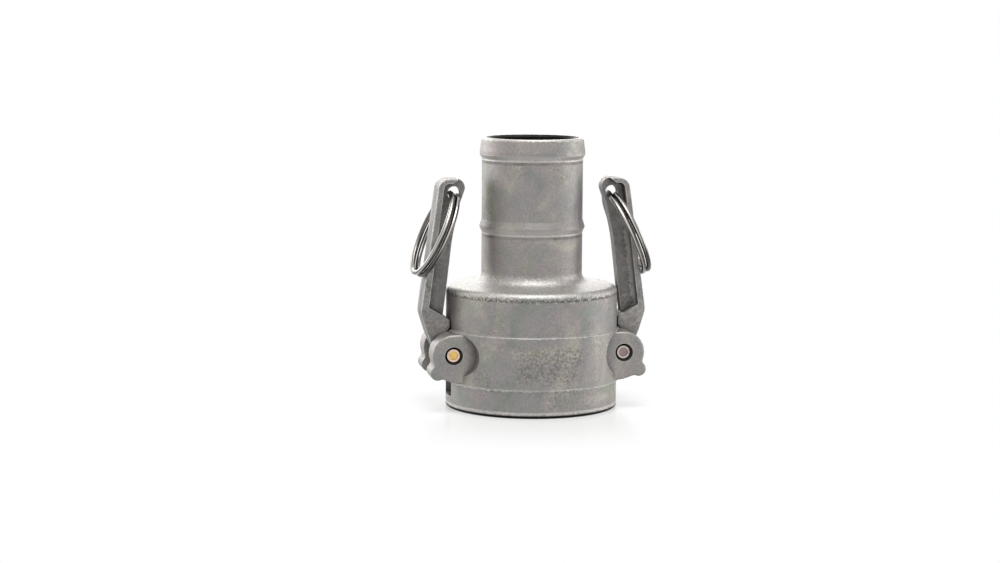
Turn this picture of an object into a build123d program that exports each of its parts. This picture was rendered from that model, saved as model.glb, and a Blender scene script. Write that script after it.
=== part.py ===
"""Cam-lever hose coupling, 1 1/2 inch: a cast socket with a barbed hose shank, two cam levers and their pull rings.

Frame: origin at the centre of the socket's mouth, +Z up along the bore to the hose end, the levers on +X and -X.
All lengths are in millimetres.
"""

import os
from math import acos, asin, atan2, cos, degrees, hypot, pi, radians, sin, sqrt

from build123d import *

# Socket: the cylinder that takes the plug half of the coupling
SOCKET_BORE_R = 27.0
SOCKET_WALL = 6.45
MOUTH_CHAMFER = 0.8
MOUTH_EDGE_R = 1.0
MOUTH_LAND_TOP = 12.0
RELIEF_DEPTH = 0.6
GUIDE_LAND = 3.2
SEAT_BOTTOM = 36.4
SEAT_DEPTH = 1.2
ROOF_THICKNESS = 4.6
SHOULDER_EDGE_R = 2.5

# Raised band round the socket that carries the lever ears
BAND_RAISE = 1.0
BAND_BOTTOM = 10.6
BAND_HEIGHT = 20.6
BAND_EDGE_R = 0.45

# Hose shank
SHANK_BORE_R = 17.2
SHANK_WALL = 2.45
SHANK_LENGTH = 57.6
SHOULDER_RISE = 1.9
SHANK_ROOT_FILLET = 3.8
RIM_ROUND = 0.8
THROAT_STEP = 0.05
THROAT_HEIGHT = 8.2
BARB_RAISE = 0.85
END_BARB_LENGTH = 8.1
END_BARB_STEP = 1.5
END_BARB_LAND = 1.4
MID_BARB_HEIGHT = 21.0
MID_BARB_STEP = 1.8
MID_BARB_LAND = 0.6
MID_BARB_RAMP = 2.6
BARB_ROUND = 0.4

# Lever pivots
PIVOT_INSET = 0.05
PIVOT_Z = 22.4
PIN_R = 3.0
PIN_CHAMFER = 0.55
PIN_DIMPLE_R = 1.7
PIN_DIMPLE_DEPTH = 0.4
PIN_RECESS = 1.3
EAR_HOLE_CLEARANCE = 0.02
LEVER_HOLE_CLEARANCE = 0.06
EAR_COUNTERBORE_R = 3.5
EAR_COUNTERBORE_DEPTH = 2.4

# Ears: a pair on each side, with the lever's slot between them
SLOT_HALF_WIDTH = 6.6
SLOT_BOTTOM = 5.0
EAR_THICKNESS = 10.6
EAR_R = 8.15
EAR_EDGE_R = 1.0
TOE_CENTRE = (6.15, -6.7)
TOE_R = 2.8
TOE_NECK_R = 2.0
EAR_UNDERSIDE_RISE = 1.3
EAR_ROOT = 6.5
DISH_R = 8.7

# Levers, in the plane of the pivot: first number outwards from the pivot, second number up
LEVER_SIDE_GAP = 0.3
WEB_WIDTH = 5.0
FLANGE_THICKNESS = 2.3
CAM_BITE = 3.5
CAM_LIFT = 0.8
CAM_R = 5.0
CAM_SWING_GAP = 0.35
HEEL_R = 5.3
ELBOW = (10.95, 15.2)
ELBOW_LOW = (8.6, 7.6)
ELBOW_R = 7.0
BLOCK_TOP = 12.4
BLOCK_BOTTOM = 9.6
BLOCK_CORNER_R = 1.2
BLOCK_SLOPE = 29.0
NECK = (1.4, 7.2)
BODY_GAP = 0.3
WEB_INNER = [(2.1, 14.0), (0.8, 24.0), (-1.5, 44.0), (-4.4, 57.2)]
WEB_INNER_R = 60.0
HEAD_THROAT_R = 9.0
HEAD_OUTER = (0.1, 62.7)
HEAD_OUTER_R = 4.2
HEAD_INNER = (-2.9, 63.4)
HEAD_INNER_R = 3.5
LIP_THICKNESS = 1.7
LIP_RISE = 1.2
LIP_CORNER_R = 2.2
EYE_CENTRE = (-2.2, 61.3)
EYE_R = 2.6
LEVER_EDGE_R = 0.45

# Pull rings: split rings of two turns. RING_HANG is the wire's place in the eye, outwards and up from its centre, and
# SEAM_ANGLE the crossing's place from the eye towards +Y.
WIRE_R = 0.95
RING_R = 16.9
TURN_GAP = 0.3
RING_LEVER_GAP = 0.55
RING_HANG = {"right": (-0.5, -0.6), "left": (0.15, -0.35)}
RING_TWIST = {"right": 0.0, "left": 3.0}
SEAM_ANGLE = {"right": 0.0, "left": 38.0}
SEAM_SPAN = 34.0
END_GAP_ANGLE = {"right": 21.0, "left": 3.0}

# Gasket
GASKET_RIM_GAP = 0.1
GASKET_WIDTH = 7.45
GASKET_THICKNESS = 6.3
GASKET_EDGE_R = 0.8
GASKET_GAP = 0.05

# Worked out from the sizes above
SIDES = {"right": 1, "left": -1}
SOCKET_R = SOCKET_BORE_R + SOCKET_WALL
SEAT_R = SOCKET_BORE_R + SEAT_DEPTH
GASKET_R = SEAT_R - GASKET_RIM_GAP
GASKET_BORE_R = GASKET_R - GASKET_WIDTH
THROAT_R = GASKET_BORE_R - THROAT_STEP
SEAT_TOP = SEAT_BOTTOM + GASKET_THICKNESS + 2 * GASKET_GAP
THROAT_TOP = SEAT_TOP + THROAT_HEIGHT
SHOULDER_Z = SEAT_TOP + ROOF_THICKNESS
SHANK_ROOT_Z = SHOULDER_Z + SHOULDER_RISE
SHANK_TOP = SHOULDER_Z + SHANK_LENGTH
SHANK_R = SHANK_BORE_R + SHANK_WALL
BARB_R = SHANK_R + BARB_RAISE
MID_BARB_BOTTOM = SHOULDER_Z + MID_BARB_HEIGHT
END_BARB_BOTTOM = SHANK_TOP - END_BARB_LENGTH
BAND_R = SOCKET_R + BAND_RAISE
BAND_TOP = BAND_BOTTOM + BAND_HEIGHT
PIVOT_X = SOCKET_R - PIVOT_INSET
EAR_HALF_WIDTH = SLOT_HALF_WIDTH + EAR_THICKNESS
LEVER_HALF_WIDTH = SLOT_HALF_WIDTH - LEVER_SIDE_GAP
CAM_CENTRE = (SOCKET_BORE_R - CAM_BITE + CAM_R - PIVOT_X, CAM_LIFT)
CAM_SWING_R = hypot(*CAM_CENTRE) + CAM_R + CAM_SWING_GAP
BLOCK_CLEAR_R = SOCKET_R + BODY_GAP
BLOCK_INNER = sqrt(BLOCK_CLEAR_R**2 - LEVER_HALF_WIDTH**2) - PIVOT_X


def side_plane(side):
    """The middle plane of one lever: x points outwards from the bore, y points up and the origin is on the pivot."""
    return Plane(origin=(side * PIVOT_X, 0, PIVOT_Z), x_dir=(side, 0, 0), z_dir=(0, -side, 0))


def tangent_point(point, centre, radius, turn):
    """Where the tangent from a point touches a circle; turn is 1 for the touch on the left seen from the point."""
    dx, dy = centre[0] - point[0], centre[1] - point[1]
    distance = hypot(dx, dy)
    angle = atan2(dy, dx) + turn * asin(radius / distance)
    length = sqrt(distance**2 - radius**2)
    return (point[0] + length * cos(angle), point[1] + length * sin(angle))


OUTER_TOUCH = tangent_point(ELBOW, HEAD_OUTER, HEAD_OUTER_R, -1)
INNER_TOUCH = tangent_point(WEB_INNER[-1], HEAD_INNER, HEAD_INNER_R, 1)
OUTER_ANGLE = atan2(OUTER_TOUCH[1] - ELBOW[1], OUTER_TOUCH[0] - ELBOW[0])
OUTER_NORMAL = (sin(OUTER_ANGLE), -cos(OUTER_ANGLE))
RING_HALF_THICKNESS = 2 * WIRE_R + TURN_GAP / 2


def round_corner(sketch, point, radius):
    """Round the corner of a sketch that lies nearest to a point."""
    fillet(sketch.vertices().sort_by_distance((point[0], point[1], 0))[0], radius)


def make_outer_form():
    """The turned outside of the casting as one solid, still without its bore."""
    with BuildPart() as form:
        with BuildSketch(Plane.XZ) as half:
            with BuildLine():
                Polyline(
                    (0, 0),
                    (SOCKET_R, 0),
                    (SOCKET_R, BAND_BOTTOM),
                    (BAND_R, BAND_BOTTOM + 0.2),
                    (BAND_R, BAND_TOP - 0.2),
                    (SOCKET_R, BAND_TOP),
                    (SOCKET_R, SHOULDER_Z),
                    (SHANK_R, SHANK_ROOT_Z),
                    (SHANK_R, MID_BARB_BOTTOM),
                    (BARB_R, MID_BARB_BOTTOM + MID_BARB_STEP),
                    (BARB_R, MID_BARB_BOTTOM + MID_BARB_STEP + MID_BARB_LAND),
                    (SHANK_R, MID_BARB_BOTTOM + MID_BARB_STEP + MID_BARB_LAND + MID_BARB_RAMP),
                    (SHANK_R, END_BARB_BOTTOM),
                    (BARB_R, END_BARB_BOTTOM + END_BARB_STEP),
                    (BARB_R, END_BARB_BOTTOM + END_BARB_STEP + END_BARB_LAND),
                    (SHANK_R + 0.1, SHANK_TOP),
                    (0, SHANK_TOP),
                    (0, 0),
                )
            make_face()
            corners = [
                ((SOCKET_R, 0), MOUTH_EDGE_R),
                ((BAND_R, BAND_BOTTOM + 0.2), BAND_EDGE_R),
                ((BAND_R, BAND_TOP - 0.2), BAND_EDGE_R),
                ((SOCKET_R, SHOULDER_Z), SHOULDER_EDGE_R),
                ((SHANK_R, SHANK_ROOT_Z), SHANK_ROOT_FILLET),
                ((SHANK_R, MID_BARB_BOTTOM), BARB_ROUND),
                ((SHANK_R, MID_BARB_BOTTOM + MID_BARB_STEP + MID_BARB_LAND + MID_BARB_RAMP), BARB_ROUND),
                ((SHANK_R, END_BARB_BOTTOM), BARB_ROUND),
                ((SHANK_R + 0.1, SHANK_TOP), RIM_ROUND),
            ]
            for point, radius in corners:
                round_corner(half.sketch_local, point, radius)
        revolve(axis=Axis.Z)
    return form


def make_ears(side):
    """One pair of ears with rounded rims, a straight back and a small toe at the lower outer corner."""
    plane = side_plane(side)
    with BuildPart() as ears:
        with BuildSketch(plane) as outline:
            Circle(EAR_R)
            toe_under = (TOE_CENTRE[0] + TOE_R * cos(radians(235)), TOE_CENTRE[1] + TOE_R * sin(radians(235)))
            Polygon(
                (-EAR_ROOT, EAR_R),
                (0, EAR_R),
                (0, 0),
                TOE_CENTRE,
                toe_under,
                (PIVOT_INSET, BAND_BOTTOM - PIVOT_Z + EAR_UNDERSIDE_RISE),
                (-EAR_ROOT, BAND_BOTTOM - PIVOT_Z + EAR_UNDERSIDE_RISE / 3),
                align=None,
            )
            with Locations(TOE_CENTRE):
                Circle(TOE_R)
            toe_over = (TOE_CENTRE[0] + TOE_R * cos(radians(73)), TOE_CENTRE[1] + TOE_R * sin(radians(73)))
            for point in (toe_under, toe_over):
                round_corner(outline.sketch_local, point, TOE_NECK_R)
        extrude(amount=EAR_HALF_WIDTH, both=True)
        rims = ears.faces().filter_by(Axis.Y)
        fillet(rims.edges(), EAR_EDGE_R)
    return ears


def make_body():
    """The casting: socket, band, ears and hose shank in one piece."""
    form = make_outer_form()
    with BuildPart() as body:
        add(form.part)
        for side in SIDES.values():
            add(make_ears(side).part)
        for side in SIDES.values():
            plane = side_plane(side)
            for direction in (1, -1):
                # round dish sunk into the band beside the ear, for driving the pin
                with BuildSketch(plane.offset(direction * EAR_HALF_WIDTH)):
                    Circle(DISH_R)
                extrude(amount=direction * SOCKET_R, mode=Mode.SUBTRACT)
        # socket, gasket seat, throat and waterway
        with BuildSketch(Plane.XZ):
            with BuildLine():
                Polyline(
                    (0, -1),
                    (SOCKET_BORE_R + MOUTH_CHAMFER + 1, -1),
                    (SOCKET_BORE_R, MOUTH_CHAMFER),
                    (SOCKET_BORE_R, MOUTH_LAND_TOP),
                    (SOCKET_BORE_R + RELIEF_DEPTH, MOUTH_LAND_TOP + RELIEF_DEPTH),
                    (SOCKET_BORE_R + RELIEF_DEPTH, SEAT_BOTTOM - GUIDE_LAND - RELIEF_DEPTH),
                    (SOCKET_BORE_R, SEAT_BOTTOM - GUIDE_LAND),
                    (SOCKET_BORE_R, SEAT_BOTTOM),
                    (SEAT_R, SEAT_BOTTOM),
                    (SEAT_R, SEAT_TOP),
                    (THROAT_R, SEAT_TOP),
                    (SHANK_BORE_R, THROAT_TOP),
                    (SHANK_BORE_R, SHANK_TOP - RIM_ROUND),
                    (SHANK_BORE_R + RIM_ROUND, SHANK_TOP),
                    (SHANK_BORE_R + RIM_ROUND, SHANK_TOP + 1),
                    (0, SHANK_TOP + 1),
                    (0, -1),
                )
            make_face()
        revolve(axis=Axis.Z, mode=Mode.SUBTRACT)
        for side in SIDES.values():
            plane = side_plane(side)
            # slot through the wall and between the ears, from the skirt to just above the cam's swing
            slot_inner = SOCKET_BORE_R / 2 - PIVOT_X
            slot_outer = TOE_CENTRE[0] + 3 * TOE_R
            slot_low = SLOT_BOTTOM - PIVOT_Z
            slot_high = BAND_TOP - PIVOT_Z + BAND_RAISE
            with BuildSketch(plane):
                Polygon(
                    (slot_inner, slot_low),
                    (slot_outer, slot_low),
                    (slot_outer, slot_high),
                    (PIVOT_INSET, slot_high),
                    (PIVOT_INSET, 0),
                    (slot_inner, 0),
                    align=None,
                )
                Circle(CAM_SWING_R)
            extrude(amount=SLOT_HALF_WIDTH, both=True, mode=Mode.SUBTRACT)
            # pin hole and its counterbores
            with BuildSketch(plane):
                Circle(PIN_R + EAR_HOLE_CLEARANCE)
            extrude(amount=EAR_HALF_WIDTH + 1, both=True, mode=Mode.SUBTRACT)
            for direction in (1, -1):
                with BuildSketch(plane.offset(direction * (EAR_HALF_WIDTH - EAR_COUNTERBORE_DEPTH))):
                    Circle(EAR_COUNTERBORE_R)
                extrude(amount=direction * (EAR_COUNTERBORE_DEPTH + 1), mode=Mode.SUBTRACT)
    return body


def make_lever(side):
    """A cam lever: round-ended arm of T section, full-width cam block and cam lobe, in one piece."""
    plane = side_plane(side)
    slope = radians(BLOCK_SLOPE)
    with BuildPart() as lever:
        with BuildSketch(plane) as outline:
            Polygon(
                (BLOCK_INNER, BLOCK_BOTTOM),
                NECK,
                tangent_point(ELBOW_LOW, (0, 0), HEEL_R, 1),
                ELBOW_LOW,
                ELBOW,
                OUTER_TOUCH,
                HEAD_OUTER,
                HEAD_INNER,
                INNER_TOUCH,
                *reversed(WEB_INNER),
                (BLOCK_INNER, BLOCK_TOP),
                align=None,
            )
            corners = [
                (ELBOW, ELBOW_R),
                (ELBOW_LOW, ELBOW_R),
                (WEB_INNER[-2], WEB_INNER_R),
                (WEB_INNER[-1], HEAD_THROAT_R),
                ((BLOCK_INNER, BLOCK_TOP), BLOCK_CORNER_R),
                ((BLOCK_INNER, BLOCK_BOTTOM), BLOCK_CORNER_R),
            ]
            for point, radius in corners:
                round_corner(outline.sketch_local, point, radius)
            Circle(HEEL_R)
            with Locations(CAM_CENTRE):
                Circle(CAM_R)
            Polygon(
                (CAM_CENTRE[0], CAM_CENTRE[1] + CAM_R),
                (CAM_CENTRE[0], CAM_CENTRE[1] - CAM_R),
                (0, -HEEL_R),
                (HEEL_R * 0.7, HEEL_R * 0.7),
                NECK,
                align=None,
            )
            with Locations(HEAD_OUTER):
                Circle(HEAD_OUTER_R)
            with Locations(HEAD_INNER):
                Circle(HEAD_INNER_R)
            Polygon(
                HEAD_OUTER,
                (HEAD_OUTER[0], HEAD_OUTER[1] + HEAD_OUTER_R),
                (HEAD_INNER[0], HEAD_INNER[1] + HEAD_INNER_R),
                HEAD_INNER,
                align=None,
            )
        extrude(amount=LEVER_HALF_WIDTH, both=True)
        sides = lever.faces().filter_by(Axis.Y)
        fillet(sides.edges(), LEVER_EDGE_R)
        # hollow of the block that follows the round of the body
        with BuildSketch(Plane.XY.offset(PIVOT_Z + NECK[1])):
            Circle(BLOCK_CLEAR_R)
        extrude(amount=ELBOW[1], mode=Mode.SUBTRACT)
        # side pockets that leave the web, the flange and the lip that hooks over the eye
        lip_under = HEAD_OUTER[1] + HEAD_OUTER_R - LIP_THICKNESS
        lip_corner = (
            OUTER_TOUCH[0] - FLANGE_THICKNESS * OUTER_NORMAL[0],
            lip_under,
        )
        elbow_inner = (
            ELBOW[0] - FLANGE_THICKNESS * OUTER_NORMAL[0] - 0.6,
            BLOCK_TOP + (ELBOW[0] - FLANGE_THICKNESS - BLOCK_INNER) * sin(slope) / cos(slope),
        )
        for direction in (1, -1):
            with BuildSketch(plane.offset(direction * WEB_WIDTH / 2)) as pocket:
                Polygon(
                    lip_corner,
                    (EYE_CENTRE[0] + 1, lip_under),
                    (HEAD_INNER[0], lip_under + LIP_RISE),
                    (HEAD_INNER[0] - 1, HEAD_INNER[1] + HEAD_INNER_R + 1),
                    (HEAD_INNER[0] - 2 * HEAD_INNER_R, HEAD_INNER[1] + HEAD_INNER_R + 1),
                    (HEAD_INNER[0] - 3 * HEAD_INNER_R, BLOCK_TOP - 6),
                    (BLOCK_INNER - 1, BLOCK_TOP - 0.5),
                    elbow_inner,
                    align=None,
                )
                round_corner(pocket.sketch_local, lip_corner, LIP_CORNER_R)
            extrude(amount=direction * 10, mode=Mode.SUBTRACT)
        with BuildSketch(plane):
            with Locations(EYE_CENTRE):
                Circle(EYE_R)
            Circle(PIN_R + LEVER_HOLE_CLEARANCE)
        extrude(amount=LEVER_HALF_WIDTH + 1, both=True, mode=Mode.SUBTRACT)
    return lever


def make_pin(side):
    """A plain pin with chamfered ends, held in both ears."""
    half = EAR_HALF_WIDTH - PIN_RECESS
    with BuildPart() as pin:
        with BuildSketch(side_plane(side)):
            Circle(PIN_R)
        extrude(amount=half, both=True)
        ends = pin.faces().filter_by(Axis.Y)
        chamfer(ends.edges(), PIN_CHAMFER)
        for direction in (1, -1):
            with BuildSketch(side_plane(side).offset(direction * (half - PIN_DIMPLE_DEPTH))):
                Circle(PIN_DIMPLE_R)
            extrude(amount=direction * (PIN_DIMPLE_DEPTH + 1), mode=Mode.SUBTRACT)
    return pin


def make_ring(side_name):
    """A split ring of two turns joined by one short crossing; it hangs in the lever's eye against the flange."""
    side = SIDES[side_name]
    twist = radians(RING_TWIST[side_name])
    hang = (EYE_CENTRE[0] + RING_HANG[side_name][0], EYE_CENTRE[1] + RING_HANG[side_name][1])
    to_flange = (OUTER_TOUCH[0] - hang[0]) * OUTER_NORMAL[0] + (OUTER_TOUCH[1] - hang[1]) * OUTER_NORMAL[1]
    reach = to_flange + RING_HALF_THICKNESS + RING_LEVER_GAP + LEVER_HALF_WIDTH * sin(twist) / cos(twist)
    lean = asin(reach / (2 * RING_R)) + OUTER_ANGLE - pi / 2
    top = Vector(side * (PIVOT_X + hang[0]), 0, PIVOT_Z + hang[1])
    down = Vector(side * sin(lean), 0, -cos(lean))
    level_across = Vector(cos(lean), 0, side * sin(lean))
    across = level_across * cos(twist) + (down * -1).cross(level_across) * sin(twist)
    plane = Plane(origin=top + down * RING_R, x_dir=down * -1, z_dir=across)
    level = WIRE_R + TURN_GAP / 2
    half_seam = SEAM_SPAN / 2
    seam = SEAM_ANGLE[side_name] * (1 if plane.y_dir.Y > 0 else -1)

    def on_ring(angle, height):
        a = radians(angle)
        return (RING_R * cos(a), RING_R * sin(a), height)

    def along(angle):
        a = radians(angle)
        return (-sin(a), cos(a), 0)

    start = seam + half_seam
    finish = seam + 360 - half_seam
    end_gap = END_GAP_ANGLE[side_name]
    with BuildPart() as ring:
        with BuildLine(plane) as path:
            ThreePointArc(
                on_ring(seam + end_gap, -level),
                on_ring(seam + 180, -level),
                on_ring(finish, -level),
            )
            Spline(
                on_ring(finish, -level),
                on_ring(finish + half_seam, 0),
                on_ring(finish + SEAM_SPAN, level),
                tangents=[along(finish), along(start)],
            )
            ThreePointArc(
                on_ring(start, level),
                on_ring(seam + 180, level),
                on_ring(seam + 360 - end_gap, level),
            )
        for stretch in path.edges():
            with BuildSketch(Plane(origin=stretch @ 0, z_dir=stretch % 0)):
                Circle(WIRE_R)
            sweep(path=stretch)
    return ring


def make_gasket():
    """The flat sealing ring at the top of the socket."""
    bottom = SEAT_BOTTOM + GASKET_GAP
    with BuildPart() as gasket:
        with BuildSketch(Plane.XY.offset(bottom)):
            Circle(GASKET_R)
            Circle(GASKET_BORE_R, mode=Mode.SUBTRACT)
        extrude(amount=GASKET_THICKNESS)
        fillet(gasket.edges().filter_by(GeomType.CIRCLE), GASKET_EDGE_R)
    return gasket


parts = {"body": make_body(), "gasket": make_gasket()}
for name, side in SIDES.items():
    parts[name + "_lever"] = make_lever(side)
    parts[name + "_pin"] = make_pin(side)
    parts[name + "_pull_ring"] = make_ring(name)

os.makedirs("parts", exist_ok=True)
for label, piece in parts.items():
    piece.part.label = label
    export_step(piece.part, "parts/" + label + ".step")
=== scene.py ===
"""Looks for the cam-lever hose coupling: a blasted steel casting, two cast levers, drawn wire rings,
ground pins and a rubber sealing ring, standing on a white table."""
import math

import bpy
from mathutils import Matrix, Quaternion, Vector


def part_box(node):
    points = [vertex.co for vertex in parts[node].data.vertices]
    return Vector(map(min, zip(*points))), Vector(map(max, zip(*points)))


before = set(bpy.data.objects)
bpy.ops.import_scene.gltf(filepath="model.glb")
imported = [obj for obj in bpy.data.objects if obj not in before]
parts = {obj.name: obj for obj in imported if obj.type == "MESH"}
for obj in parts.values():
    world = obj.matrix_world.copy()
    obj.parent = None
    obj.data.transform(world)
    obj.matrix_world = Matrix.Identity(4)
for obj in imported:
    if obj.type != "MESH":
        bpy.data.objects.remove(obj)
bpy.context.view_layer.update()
MM = 0.001
METAL_SHARE = 0.85

# Places on the coupling that the finishes follow, read from the model
pin_place = {side: (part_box(side + "_pin")[0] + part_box(side + "_pin")[1]) / 2 for side in ("left", "right")}
BORE_R = 27.0 * MM
SEAT_TOP = 42.8 * MM
SHANK_BORE_R = 17.2 * MM
SOCKET_R = 33.45 * MM
SHOULDER_Z = 47.4 * MM
LOWER_EDGE = 1.9 * MM
BAND_BOTTOM = 10.6 * MM
BAND_TOP = 31.2 * MM
BODY_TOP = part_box("body")[1][2]
END_STEP = 97.6 * MM
MID_STEP = 69.2 * MM
# The right lever's elbow, and how far its flange leans back above it
ELBOW_X, ELBOW_Z, FLANGE_LEAN = 44.35 * MM, 37.6 * MM, math.radians(8.0)
# Each pull ring's centre, its lean outwards and its twist
RING_CENTRE = {"left": Vector((-38.29, 0.0, 67.94)) * MM, "right": Vector((37.81, 0.0, 67.77)) * MM}
RING_LEAN = {"left": math.radians(24.25), "right": math.radians(24.86)}
RING_TWIST = {"left": math.radians(3.0), "right": 0.0}


# Depths of bump, and colours that several finishes share or that mark a place
SKIN_DEPTH = 0.1 * MM
FINE_DEPTH = 0.04 * MM
WIRE_DEPTH = 0.02 * MM
WHITE = (1.0, 1.0, 1.0)
# colour of edges rubbed bright by wear and given a painted highlight
EDGE_WEAR_AND_HIGHLIGHT_STEEL = (0.56, 0.545, 0.52)
# colour of rims rubbed bright by wear and given painted highlights
RIM_WEAR_AND_HIGHLIGHT = (0.64, 0.62, 0.59)
# painted light on the shoulder's top
SHOULDER_TOP_LIGHT = (0.54, 0.52, 0.495)
# painted glint
PAINTED_GLINT = (0.86, 0.84, 0.81)
PIT = (0.14, 0.130, 0.115)
DEEP_GRAIN = (0.14, 0.125, 0.113)
# painted shade under the barbs and the shoulder's edge
SHADE_UNDER_EDGES = (0.075, 0.066, 0.056)
# painted contact shadow at the lower edge
CONTACT_SHADOW = (0.006, 0.006, 0.005)
TURNED_ROUGHNESS = 0.34


class Bench:
    """A node tree with short ways to place a node and join its sockets."""

    def __init__(self, tree):
        self.tree = tree

    def put(self, kind, **settings):
        node = self.tree.nodes.new(kind)
        for name, value in settings.items():
            setattr(node, name, value)
        return node

    def join(self, source, target):
        self.tree.links.new(source, target)

    def give(self, socket, value):
        """Joins a socket to another one or sets its value; a colour may come as three numbers."""
        if isinstance(value, bpy.types.NodeSocket):
            self.join(value, socket)
        elif socket.type == "RGBA" and len(value) == 3:
            socket.default_value = (*value, 1.0)
        else:
            socket.default_value = value

    def feed(self, node, **sockets):
        """Gives values to sockets by name; an underscore stands for a space."""
        for name, value in sockets.items():
            self.give(node.inputs[name.replace("_", " ")], value)
        return node

    def maths(self, operation, *values):
        node = self.put("ShaderNodeMath", operation=operation)
        for socket, value in zip(node.inputs, values):
            self.give(socket, value)
        return node.outputs[0]

    def chain(self, operation, result, *values):
        for value in values:
            result = self.maths(operation, result, value)
        return result

    def plus(self, *values):
        return self.chain("ADD", *values)

    def minus(self, value, taken):
        return self.maths("SUBTRACT", value, taken)

    def times(self, *values):
        return self.chain("MULTIPLY", *values)

    def most(self, *values):
        return self.chain("MAXIMUM", *values)

    def split(self, vector):
        """The three coordinates of a vector."""
        node = self.put("ShaderNodeSeparateXYZ")
        self.join(vector, node.inputs[0])
        return node.outputs

    def merge(self, *coordinates):
        node = self.put("ShaderNodeCombineXYZ")
        for socket, value in zip(node.inputs, coordinates):
            self.give(socket, value)
        return node.outputs[0]

    def reach(self, first, second):
        """Distance from an axis, from the two coordinates square to it."""
        return self.maths("SQRT", self.plus(self.times(first, first), self.times(second, second)))

    def fit(self, value, low, high, to_low=0.0, to_high=1.0):
        node = self.put("ShaderNodeMapRange", interpolation_type="SMOOTHSTEP")
        self.feed(node, Value=value, From_Min=low, From_Max=high, To_Min=to_low, To_Max=to_high)
        return node.outputs["Result"]

    def noise(self, vector, scale, detail=3.0, rough=0.55, distortion=0.0):
        node = self.put("ShaderNodeTexNoise")
        self.feed(node, Vector=vector, Scale=scale, Detail=detail, Roughness=rough, Distortion=distortion)
        return node.outputs["Fac"]

    def ramp(self, value, stops):
        node = self.put("ShaderNodeValToRGB")
        while len(node.color_ramp.elements) < len(stops):
            node.color_ramp.elements.new(0.5)
        for element, (place, colour) in zip(node.color_ramp.elements, stops):
            element.position = place
            element.color = (*colour, 1.0)
        self.join(value, node.inputs["Fac"])
        return node.outputs["Color"]

    def blend(self, amount, first, second, way="MIX"):
        node = self.put("ShaderNodeMix", data_type="RGBA", blend_type=way, clamp_factor=True)
        for place, value in ((0, amount), (6, first), (7, second)):
            self.give(node.inputs[place], value)
        return node.outputs[2]

    def bump(self, height, depth):
        node = self.put("ShaderNodeBump")
        self.feed(node, Height=height, Distance=depth, Strength=1.0)
        return node.outputs["Normal"]

    def seen(self):
        """1 for what the camera sees, straight or in a glossy or transmitted ray."""
        ray = self.put("ShaderNodeLightPath")
        kinds = ("Is Camera Ray", "Is Glossy Ray", "Is Transmission Ray")
        return self.most(*(ray.outputs[kind] for kind in kinds))


def start_group(name, inputs, outputs):
    """A new shader group; inputs and outputs are (name, kind, default or None)."""
    tree = bpy.data.node_groups.new(name, "ShaderNodeTree")
    for label, kind, default in inputs:
        socket = tree.interface.new_socket(name=label, in_out="INPUT", socket_type=kind)
        if default is not None:
            socket.default_value = default
    for label, kind in outputs:
        tree.interface.new_socket(name=label, in_out="OUTPUT", socket_type=kind)
    bench = Bench(tree)
    return tree, bench, bench.put("NodeGroupInput"), bench.put("NodeGroupOutput")


def make_foundry_skin():
    """Cast and shot-blasted skin: Height of lumps and grain, Speckle of shot marks, two broad stains and the patches
    where the grain stands out."""
    tree, b, given, made = start_group(
        "foundry skin",
        [
            ("Vector", "NodeSocketVector", None),
            ("Grain", "NodeSocketFloat", 900.0),
            ("Lumps", "NodeSocketFloat", 150.0),
        ],
        [
            ("Height", "NodeSocketFloat"),
            ("Speckle", "NodeSocketFloat"),
            ("Tone", "NodeSocketFloat"),
            ("Stain", "NodeSocketFloat"),
            ("Patch", "NodeSocketFloat"),
        ],
    )
    place = given.outputs["Vector"]
    lumps = given.outputs["Lumps"]
    coarse = b.noise(place, lumps, 2.0, 0.5, 0.3)
    grain = b.noise(place, given.outputs["Grain"], 3.0, 0.6)
    patch = b.fit(b.noise(place, b.times(lumps, 0.6), 3.0, 0.55, 0.6), 0.46, 0.74)
    shot = b.put("ShaderNodeTexVoronoi", feature="F1", distance="EUCLIDEAN")
    b.feed(shot, Vector=place, Scale=b.times(given.outputs["Grain"], 1.1), Randomness=1.0)
    dents = b.fit(shot.outputs["Distance"], 0.0, 0.6)
    fine = b.plus(b.times(grain, 0.5), b.times(dents, 0.2))
    fine = b.times(fine, b.fit(patch, 0.0, 1.0, 0.35, 1.0))
    b.join(b.plus(b.times(coarse, 1.3), fine), made.inputs["Height"])
    b.join(b.fit(grain, 0.34, 0.68), made.inputs["Speckle"])
    b.join(b.noise(place, b.times(lumps, 0.42), 2.0, 0.55, 1.2), made.inputs["Tone"])
    shifted = b.put("ShaderNodeMapping", vector_type="POINT")
    b.feed(shifted, Vector=place, Location=(0.31, 0.17, 0.23))
    b.join(b.noise(shifted.outputs[0], b.times(lumps, 0.6), 3.0, 0.6, 1.0), made.inputs["Stain"])
    b.join(patch, made.inputs["Patch"])
    return tree


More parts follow.
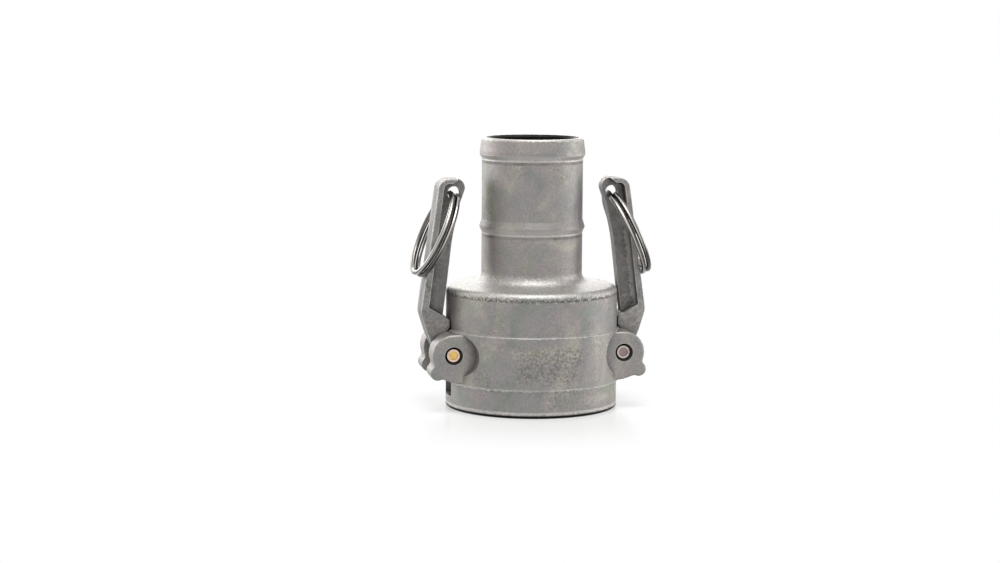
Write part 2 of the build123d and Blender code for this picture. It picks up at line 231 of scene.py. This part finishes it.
def make_edge_wear_and_highlight():
    """Mask of outer edges, rubbed bright by wear and given a painted highlight, broken up along their length."""
    tree, b, given, made = start_group(
        "edge rub",
        [
            ("Vector", "NodeSocketVector", None),
            ("Width", "NodeSocketFloat", 0.0006),
            ("Break up", "NodeSocketFloat", 420.0),
        ],
        [("Mask", "NodeSocketFloat")],
    )
    rounded = b.put("ShaderNodeBevel", samples=6)
    b.join(given.outputs["Width"], rounded.inputs["Radius"])
    true_face = b.put("ShaderNodeNewGeometry")
    turn = b.put("ShaderNodeVectorMath", operation="DOT_PRODUCT")
    b.join(rounded.outputs["Normal"], turn.inputs[0])
    b.join(true_face.outputs["Normal"], turn.inputs[1])
    edge = b.fit(b.minus(1.0, turn.outputs["Value"]), 0.015, 0.16)
    open_air = b.put("ShaderNodeAmbientOcclusion", samples=4, only_local=True)
    b.feed(open_air, Distance=0.003)
    outer = b.fit(open_air.outputs["AO"], 0.62, 0.92)
    patchy = b.fit(b.noise(given.outputs["Vector"], given.outputs["Break up"], 3.0, 0.6), 0.34, 0.62)
    mask = b.times(b.times(edge, outer), b.plus(b.times(patchy, 0.75), 0.25))
    b.join(mask, made.inputs["Mask"])
    return tree


def make_crevice_dust_and_shade():
    """Mask of corners and recesses that hold dull blasting dust and are given painted shade."""
    tree, b, given, made = start_group(
        "crevice grime",
        [("Vector", "NodeSocketVector", None), ("Reach", "NodeSocketFloat", 0.004)],
        [("Mask", "NodeSocketFloat")],
    )
    shade = b.put("ShaderNodeAmbientOcclusion", samples=6)
    b.join(given.outputs["Reach"], shade.inputs["Distance"])
    deep = b.minus(1.0, shade.outputs["AO"])
    cloudy = b.minus(b.noise(given.outputs["Vector"], 300.0, 3.0, 0.6), 0.5)
    b.join(b.fit(b.plus(deep, b.times(cloudy, 0.35)), 0.12, 0.8), made.inputs["Mask"])
    return tree


FOUNDRY_SKIN = make_foundry_skin()
EDGE_WEAR_AND_HIGHLIGHT_GROUP = make_edge_wear_and_highlight()
CREVICE_DUST_AND_SHADE = make_crevice_dust_and_shade()


def start_finish(name):
    """A new material with its bench, its shader and the piece's own coordinates."""
    finish = bpy.data.materials.new(name)
    finish.use_nodes = True
    finish.node_tree.nodes.clear()
    b = Bench(finish.node_tree)
    shader = b.put("ShaderNodeBsdfPrincipled")
    out = b.put("ShaderNodeOutputMaterial")
    b.join(shader.outputs[0], out.inputs["Surface"])
    place = b.put("ShaderNodeTexCoord").outputs["Object"]
    return finish, b, shader, place


def use_group(b, tree, place, **values):
    node = b.put("ShaderNodeGroup", node_tree=tree)
    b.join(place, node.inputs["Vector"])
    b.feed(node, **values)
    return node


def cast_steel(name, tones, stain, dark, grain=1150.0, lumps=130.0, wear_and_highlight_share=0.9, bright=EDGE_WEAR_AND_HIGHLIGHT_STEEL, grit=0.2, dust_and_shade_share=0.7):
    """Shot-blasted cast stainless steel: broad tint changes, grain in patches, edges rubbed bright and given a painted
    highlight, and corners darkened with dust and painted shade.
    """
    finish, b, shader, place = start_finish(name)
    skin = use_group(b, FOUNDRY_SKIN, place, Grain=grain, Lumps=lumps)
    wear_and_highlight = use_group(b, EDGE_WEAR_AND_HIGHLIGHT_GROUP, place)
    dust_and_shade = use_group(b, CREVICE_DUST_AND_SHADE, place)
    colour = b.ramp(skin.outputs["Tone"], tones)
    colour = b.blend(b.fit(skin.outputs["Stain"], 0.48, 0.72, 0.0, 0.7), colour, stain)
    grainy = b.most(b.fit(skin.outputs["Patch"], 0.0, 1.0, 0.25, 0.9), wear_and_highlight.outputs["Mask"])
    spots = b.ramp(skin.outputs["Speckle"], [(0.0, (1.0 - grit,) * 3), (0.5, WHITE), (1.0, (1.0 + grit,) * 3)])
    speckle = b.blend(1.0, colour, b.blend(grainy, WHITE, spots), "MULTIPLY")
    # corners and recesses darkened, partly with dust and partly with painted shade
    dusted_and_shaded = b.blend(b.times(dust_and_shade.outputs["Mask"], dust_and_shade_share), speckle, dark)
    # outer edges lightened, partly by rubbed wear and partly with a painted highlight
    worn_and_highlit = b.blend(b.times(wear_and_highlight.outputs["Mask"], wear_and_highlight_share), dusted_and_shaded, bright)
    rough = b.plus(b.times(skin.outputs["Speckle"], -0.12), 0.58)
    rough = b.minus(rough, b.times(wear_and_highlight.outputs["Mask"], 0.18))
    rough = b.plus(rough, b.times(dust_and_shade.outputs["Mask"], 0.12))
    b.feed(shader, Base_Color=worn_and_highlit, Roughness=rough, Metallic=METAL_SHARE)
    b.join(b.bump(skin.outputs["Height"], SKIN_DEPTH), shader.inputs["Normal"])
    return finish, b, shader, place, worn_and_highlit, rough, skin


def body_steel():
    """The casting's skin outside, with rims rubbed bright and given painted highlights, painted light on the shoulder,
    painted shade under the barbs and the shoulder's edge and a painted contact shadow at the foot; turned faces in the
    socket, the seat and the mouth; and a waterway painted near black as shade.
    """
    finish, b, shader, place, cast, rough, skin = cast_steel(
        "blasted casting",
        [
            (0.32, (0.250, 0.258, 0.240)),
            (0.44, (0.292, 0.278, 0.274)),
            (0.55, (0.322, 0.292, 0.284)),
            (0.68, (0.372, 0.356, 0.314)),
        ],
        (0.262, 0.280, 0.236),
        (0.045, 0.042, 0.038),
    )
    x, y, z = b.split(place)
    radius = b.reach(x, y)
    speckle, stain, patch = (skin.outputs[kind] for kind in ("Speckle", "Stain", "Patch"))
    uneven = b.plus(z, b.times(b.minus(speckle, 0.5), 0.5 * MM))
    outside = b.maths("GREATER_THAN", radius, SHANK_BORE_R + 1.0 * MM)

    def line_at(level, half_width, height=uneven):
        away = b.maths("ABSOLUTE", b.minus(height, level))
        return b.fit(away, half_width * 0.35, half_width, 1.0, 0.0)

    # rubbed bright by handling and given painted highlights: the edges of the band, the shoulder, the hose end and the
    # socket, the lower edge and the barbs
    rim_wear_and_highlights = b.most(
        line_at(BAND_BOTTOM + 0.15 * MM, 0.55 * MM),
        b.times(line_at(BAND_TOP - 0.1 * MM, 0.5 * MM), 0.55),
        b.times(line_at(SHOULDER_Z - 0.9 * MM, 0.8 * MM), 0.6),
        b.fit(uneven, BODY_TOP - 1.1 * MM, BODY_TOP - 0.4 * MM),
        b.times(line_at(LOWER_EDGE, 0.7 * MM), 0.85),
        b.times(b.most(line_at(END_STEP, 1.2 * MM), line_at(MID_STEP, 1.4 * MM)), 0.55),
        b.times(b.most(line_at(END_STEP - 0.8 * MM, 0.65 * MM, z), line_at(MID_STEP - 0.9 * MM, 0.65 * MM, z)), 0.85),
    )
    rim_wear_and_highlights = b.times(rim_wear_and_highlights, outside, b.fit(patch, 0.0, 1.0, 0.75, 1.0))
    cast = b.blend(b.times(rim_wear_and_highlights, 0.85), cast, RIM_WEAR_AND_HIGHLIGHT)
    # painted light: the shoulder's top and the foot of the shank are painted paler, with painted glints and dark specks
    top = b.times(
        b.fit(z, SHOULDER_Z - 1.2 * MM, SHOULDER_Z),
        b.fit(z, SHOULDER_Z + 3.5 * MM, SHOULDER_Z + 6.5 * MM, 1.0, 0.0),
        outside,
    )
    cast = b.blend(b.times(top, 0.5), cast, SHOULDER_TOP_LIGHT)
    flecks = b.noise(place, 1500.0, 2.0, 0.6)
    flecked = b.most(top, b.times(rim_wear_and_highlights, 0.7), line_at(SHOULDER_Z - 1.8 * MM, 2.6 * MM))
    cast = b.blend(b.times(flecked, b.fit(flecks, 0.55, 0.70, 0.0, 0.6)), cast, PAINTED_GLINT)
    cast = b.blend(b.times(flecked, b.fit(flecks, 0.32, 0.44, 0.45, 0.0)), cast, PIT)
    # painted shade: dark lines under the barbs and under the shoulder's edge
    under_barbs = b.most(line_at(END_STEP - 1.9 * MM, 0.8 * MM, z), line_at(MID_STEP - 2.0 * MM, 0.8 * MM, z))
    under_barbs = b.times(under_barbs, b.fit(stain, 0.40, 0.60, 0.2, 0.6))
    under_edge = b.times(line_at(SHOULDER_Z - 2.7 * MM, 0.7 * MM), b.fit(speckle, 0.3, 0.75, 0.75, 0.15))
    cast = b.blend(b.times(b.most(under_barbs, under_edge), outside), cast, SHADE_UNDER_EDGES)
    # the band's middle, front and back, keeps a coarser and darker grain inside a wandering border
    wandering = b.plus(x, b.times(b.minus(stain, 0.5), 30.0 * MM))
    middle = b.times(
        b.fit(b.maths("ABSOLUTE", wandering), 8.0 * MM, 15.0 * MM, 1.0, 0.0),
        b.fit(z, BAND_BOTTOM + 1.5 * MM, BAND_BOTTOM + 5.0 * MM),
        b.fit(z, BAND_TOP - 6.0 * MM, BAND_TOP - 2.0 * MM, 1.0, 0.0),
        b.maths("GREATER_THAN", radius, SOCKET_R),
    )
    coarse = b.noise(place, 1150.0, 3.0, 0.7)
    cast = b.blend(b.times(middle, b.fit(coarse, 0.36, 0.58, 0.6, 0.0)), cast, DEEP_GRAIN)
    # painted contact shadow: the lower edge, where the coupling stands, is painted near black
    contact_shadow = b.times(b.fit(z, 0.95 * MM, 1.35 * MM, 1.0, 0.0), b.maths("GREATER_THAN", radius, BORE_R + 2.0 * MM))
    cast = b.blend(contact_shadow, cast, CONTACT_SHADOW)
    # painted shade: the inside of the shank, as cast, is painted near black
    waterway = b.times(b.maths("LESS_THAN", radius, SHANK_BORE_R + 1.0 * MM), b.maths("GREATER_THAN", z, SEAT_TOP))
    cast = b.blend(waterway, cast, b.ramp(stain, [(0.35, (0.010, 0.009, 0.008)), (0.7, (0.026, 0.024, 0.022))]))
    below_seat = b.maths("LESS_THAN", z, SEAT_TOP + 0.2 * MM)
    in_socket = b.times(b.maths("LESS_THAN", radius, BORE_R + 1.4 * MM), below_seat)
    turned = b.most(in_socket, b.maths("LESS_THAN", z, 0.12 * MM))
    as_cast = b.minus(1.0, turned)
    # tool marks run round the bore, so they change along it and outwards only
    marks = b.noise(b.merge(radius, 0.0, z), 5200.0, 2.0, 0.7)
    turned_colour = b.ramp(marks, [(0.3, (0.30, 0.295, 0.285)), (0.7, (0.40, 0.392, 0.378))])
    b.feed(
        shader,
        Base_Color=b.blend(turned, cast, turned_colour),
        Roughness=b.plus(b.times(rough, as_cast), b.times(turned, TURNED_ROUGHNESS)),
    )
    height = b.plus(b.times(skin.outputs["Height"], as_cast), b.times(marks, 0.12, turned))
    b.join(b.bump(height, SKIN_DEPTH), shader.inputs["Normal"])
    return finish


def lever_steel():
    """The levers' skin, darker than the body's, with painted shade in the pockets beside the web and painted light on
    the right lever's web near its flange.
    """
    finish, b, shader, place, cast, _, skin = cast_steel(
        "lever casting",
        [
            (0.36, (0.232, 0.232, 0.222)),
            (0.50, (0.284, 0.268, 0.262)),
            (0.66, (0.336, 0.320, 0.300)),
        ],
        (0.195, 0.199, 0.173),
        (0.022, 0.021, 0.019),
        grain=1000.0,
        lumps=220.0,
        wear_and_highlight_share=1.0,
        bright=(0.72, 0.70, 0.67),
        grit=0.42,
        dust_and_shade_share=0.42,
    )
    x, y, z = b.split(place)
    sunk = b.fit(b.maths("ABSOLUTE", y), 2.6 * MM, 4.2 * MM, 1.0, 0.0)
    # painted light: on the right lever the web is painted paler towards the flange; the distance counts from the
    # flange's outer face
    outwards = b.times(b.minus(x, ELBOW_X), math.cos(FLANGE_LEAN))
    upwards = b.times(b.minus(z, ELBOW_Z), math.sin(FLANGE_LEAN))
    from_flange = b.plus(outwards, upwards, b.times(b.minus(skin.outputs["Speckle"], 0.5), 0.9 * MM))
    pale = b.times(b.fit(from_flange, -4.4 * MM, -3.3 * MM), b.fit(z, 66.0 * MM, 74.0 * MM, 1.0, 0.0))
    # painted shade: the pockets beside the web are painted dark
    cast = b.blend(b.times(sunk, b.minus(1.0, pale), 0.5), cast, (0.095, 0.090, 0.088))
    cast = b.blend(b.times(sunk, pale, 0.5), cast, (0.48, 0.46, 0.44))
    # painted shade: the pockets' corners are painted near black, most near the eye
    crease_shade = use_group(b, CREVICE_DUST_AND_SHADE, place, Reach=0.0014)
    pocket = b.times(b.fit(z, 68.0 * MM, 78.0 * MM, 0.35, 0.95), b.minus(1.0, b.times(pale, 0.8)))
    crease_shade_share = b.times(pocket, b.fit(crease_shade.outputs["Mask"], 0.08, 0.5))
    b.feed(shader, Base_Color=b.blend(crease_shade_share, cast, (0.014, 0.013, 0.012)))
    return finish


def ring_turn(side):
    """How a pull ring stands: x runs along the ring's axis and z from its centre to the lever's eye."""
    sign = 1 if side == "right" else -1
    lean, twist = RING_LEAN[side], RING_TWIST[side]
    up = Vector((-sign * math.sin(lean), 0.0, math.cos(lean)))
    level_across = Vector((math.cos(lean), 0.0, sign * math.sin(lean)))
    across = level_across * math.cos(twist) + up.cross(level_across) * math.sin(twist)
    return Matrix((across, up.cross(across), up)).transposed().to_euler()


def ring_wire(side):
    """Drawn stainless wire: polished along its crest, with fine lines along the wire, painted shade between the two
    turns, on the outer flanks and in the crevices.
    """
    finish, b, shader, place = start_finish(side + " ring wire")
    flat = b.put("ShaderNodeMapping", vector_type="TEXTURE")
    b.feed(flat, Vector=place, Location=RING_CENTRE[side], Rotation=ring_turn(side))
    across, level, upright = b.split(flat.outputs[0])
    # a small share of the turning angle draws the noise out into lines along the wire
    angle = b.maths("ARCTAN2", level, upright)
    drawn = b.merge(b.reach(level, upright), across, b.times(angle, 0.5 * MM))
    lines = b.noise(drawn, 1700.0, 2.0, 0.5)
    cloudy = b.noise(place, 150.0, 2.0, 0.5)
    dust_and_shade = use_group(b, CREVICE_DUST_AND_SHADE, place, Reach=0.0016)
    wire_tones = [(0.36, (0.060, 0.055, 0.051)), (0.50, (0.215, 0.202, 0.190)), (0.62, (0.62, 0.60, 0.575))]
    colour = b.ramp(lines, wire_tones)
    spread = b.maths("ABSOLUTE", across)
    between = b.fit(spread, 0.35 * MM, 0.85 * MM, 1.0, 0.0)
    flank_shade = b.fit(spread, 1.45 * MM, 2.0 * MM)
    # painted shade on the ring's outer flanks
    colour = b.blend(b.times(flank_shade, 0.5), colour, (0.115, 0.108, 0.100))
    # painted shade in the gap between the two turns
    colour = b.blend(b.times(between, 0.93), colour, (0.016, 0.015, 0.014))
    # painted shade in the crevices
    colour = b.blend(b.times(dust_and_shade.outputs["Mask"], 0.6), colour, (0.03, 0.028, 0.026))
    b.feed(
        shader,
        Base_Color=colour,
        Metallic=1.0,
        Roughness=b.plus(b.times(cloudy, 0.2), 0.22),
    )
    b.join(b.bump(lines, WIRE_DEPTH), shader.inputs["Normal"])
    return finish


def pin_steel(side, warm, pale, soot):
    """A ground pin with turned ends; a straw tint from heat stays on its end faces, with painted shade round the end's
    rim and in the crevices.
    """
    finish, b, shader, place = start_finish(side + " pin steel")
    shift = b.put("ShaderNodeMapping", vector_type="TEXTURE")
    b.feed(shift, Vector=place, Location=pin_place[side])
    x, y, z = b.split(shift.outputs[0])
    radius = b.reach(x, z)
    turned = b.noise(b.merge(radius, b.times(y, 0.2)), 4200.0, 2.0, 0.7)
    cloudy = b.noise(place, 520.0, 3.0, 0.6)
    blotch = b.times(b.minus(cloudy, 0.5), 1.1 * MM)
    tint = b.blend(b.fit(b.plus(radius, blotch), 1.55 * MM, 1.95 * MM), warm, pale)
    tint = b.blend(b.fit(cloudy, 0.5, 0.62, 0.0, 0.55), tint, soot)
    # painted shade: a near-black ring on the end's chamfered rim, where the pin meets the hole
    tint = b.blend(b.fit(radius, 2.5 * MM, 2.7 * MM), tint, (0.012, 0.010, 0.009))
    colour = b.blend(b.fit(turned, 0.3, 0.7, 0.0, 0.35), tint, (0.16, 0.14, 0.125))
    # painted shade in the crevices
    dust_and_shade = use_group(b, CREVICE_DUST_AND_SHADE, place, Reach=0.0012)
    colour = b.blend(b.times(dust_and_shade.outputs["Mask"], 0.55), colour, (0.02, 0.018, 0.016))
    b.feed(shader, Base_Color=colour, Metallic=1.0, Roughness=b.plus(b.times(cloudy, 0.2), 0.22))
    b.join(b.bump(b.plus(turned, cloudy), FINE_DEPTH), shader.inputs["Normal"])
    return finish


def seal_rubber():
    """Black nitrile rubber with a chalky bloom and moulding grain."""
    finish, b, shader, place = start_finish("seal rubber")
    bloom = b.noise(place, 130.0, 4.0, 0.6, 0.5)
    grain = b.noise(place, 1600.0, 3.0, 0.6)
    colour = b.ramp(bloom, [(0.35, (0.012, 0.012, 0.012)), (0.7, (0.036, 0.035, 0.034))])
    colour = b.blend(b.fit(grain, 0.58, 0.72, 0.0, 0.4), colour, (0.06, 0.059, 0.056))
    b.feed(shader, Base_Color=colour, Roughness=b.plus(b.times(bloom, 0.25), 0.45))
    b.join(b.bump(grain, FINE_DEPTH), shader.inputs["Normal"])
    return finish


def dress(name, finish):
    piece = parts[name]
    if not piece.material_slots:
        piece.data.materials.append(finish)
    for slot in piece.material_slots:
        slot.material = finish


# How far round from the front the camera stands, in degrees
CAMERA_SIDE = 11.3


def place_camera():
    """The camera stands low in front, a little to the left of the lever pair's middle plane, and leans by a third of a
    degree."""
    stand = Vector((-0.17047, -0.85314, 0.155))
    camera = bpy.data.objects.new("camera", bpy.data.cameras.new("camera"))
    bpy.context.scene.collection.objects.link(camera)
    camera.data.sensor_fit = "HORIZONTAL"
    camera.data.sensor_width = 36.0
    camera.data.lens = 80.7
    camera.data.clip_start = 0.01
    camera.data.clip_end = 50.0
    heading = math.radians(10.488)
    pitch = math.radians(-6.98)
    look = Vector((math.sin(heading) * math.cos(pitch), math.cos(heading) * math.cos(pitch), math.sin(pitch)))
    camera.location = stand
    roll = Quaternion((0.0, 0.0, 1.0), math.radians(0.35))
    camera.rotation_euler = (look.to_track_quat("-Z", "Y") @ roll).to_euler()
    bpy.context.scene.camera = camera


def hang_lamp(name, azimuth, elevation, distance, size, power):
    """A soft panel aimed at the coupling's middle; azimuth 0 is the camera's side and 90 its right."""
    lamp = bpy.data.lights.new(name, "AREA")
    lamp.shape = "RECTANGLE"
    lamp.size, lamp.size_y = size
    lamp.energy = power
    holder = bpy.data.objects.new(name, lamp)
    bpy.context.scene.collection.objects.link(holder)
    a = math.radians(azimuth - CAMERA_SIDE)
    e = math.radians(elevation)
    middle = Vector((0.0, 0.0, 0.05))
    away = Vector((math.sin(a) * math.cos(e), -math.cos(a) * math.cos(e), math.sin(e)))
    holder.location = middle + away * distance
    holder.rotation_euler = (-away).to_track_quat("-Z", "Y").to_euler()


def light_tent():
    """A white tent: even pale surroundings, the main panel overhead, three behind and a weak low one on the right."""
    world = bpy.data.worlds.new("white tent")
    bpy.context.scene.world = world
    world.use_nodes = True
    world.node_tree.nodes.clear()
    b = Bench(world.node_tree)
    lit = b.put("ShaderNodeBackground")
    b.feed(lit, Color=(1.0, 1.0, 1.0, 1.0), Strength=0.3)
    shown = b.put("ShaderNodeBackground")
    b.feed(shown, Color=(1.0, 1.0, 1.0, 1.0), Strength=1.0)
    choose = b.put("ShaderNodeMixShader")
    b.join(b.seen(), choose.inputs[0])
    b.join(lit.outputs[0], choose.inputs[1])
    b.join(shown.outputs[0], choose.inputs[2])
    out = b.put("ShaderNodeOutputWorld")
    b.join(choose.outputs[0], out.inputs["Surface"])
    for panel in (
        ("left panel", -118, 12, 0.6, (0.46, 0.5), 1.7),
        ("low right panel", 100, 5, 0.6, (0.38, 0.26), 0.9),
        ("back panel", 178, 22, 0.75, (0.7, 0.25), 1.8),
        ("rear left panel", -150, 18, 0.7, (0.4, 0.3), 0.7),
        ("overhead panel", 10, 70, 0.8, (0.5, 0.5), 4.6),
    ):
        hang_lamp(*panel)


def lay_table():
    """A white table top that shows the shadow near the coupling and turns plain white further out."""
    bpy.ops.mesh.primitive_plane_add(size=6.0, location=(0.0, 0.0, 0.0))
    table = bpy.context.object
    table.name = "table"
    finish, b, shader, place = start_finish("white table")
    b.feed(shader, Base_Color=(0.93, 0.93, 0.925, 1.0), Roughness=0.22)
    shader.inputs["Specular IOR Level"].default_value = 0.28
    x, y, _ = b.split(place)
    white = b.put("ShaderNodeEmission")
    b.feed(white, Color=(1.0, 1.0, 1.0, 1.0), Strength=1.0)
    choose = b.put("ShaderNodeMixShader")
    b.join(b.times(b.seen(), b.fit(b.reach(x, y), 34.0 * MM, 100.0 * MM, 0.45, 1.0)), choose.inputs[0])
    b.join(shader.outputs[0], choose.inputs[1])
    b.join(white.outputs[0], choose.inputs[2])
    out = next(node for node in finish.node_tree.nodes if node.type == "OUTPUT_MATERIAL")
    b.join(choose.outputs[0], out.inputs["Surface"])
    table.data.materials.append(finish)


dress("body", body_steel())
levers = lever_steel()
for side in ("left", "right"):
    dress(side + "_lever", levers)
    dress(side + "_pull_ring", ring_wire(side))
dress("left_pin", pin_steel("left", (0.90, 0.60, 0.19), (0.86, 0.66, 0.56), (0.60, 0.36, 0.14)))
dress("right_pin", pin_steel("right", (0.33, 0.25, 0.235), (0.60, 0.53, 0.50), (0.22, 0.17, 0.16)))
dress("gasket", seal_rubber())
place_camera()
light_tent()
lay_table()
bpy.context.scene.view_settings.view_transform = "Standard"
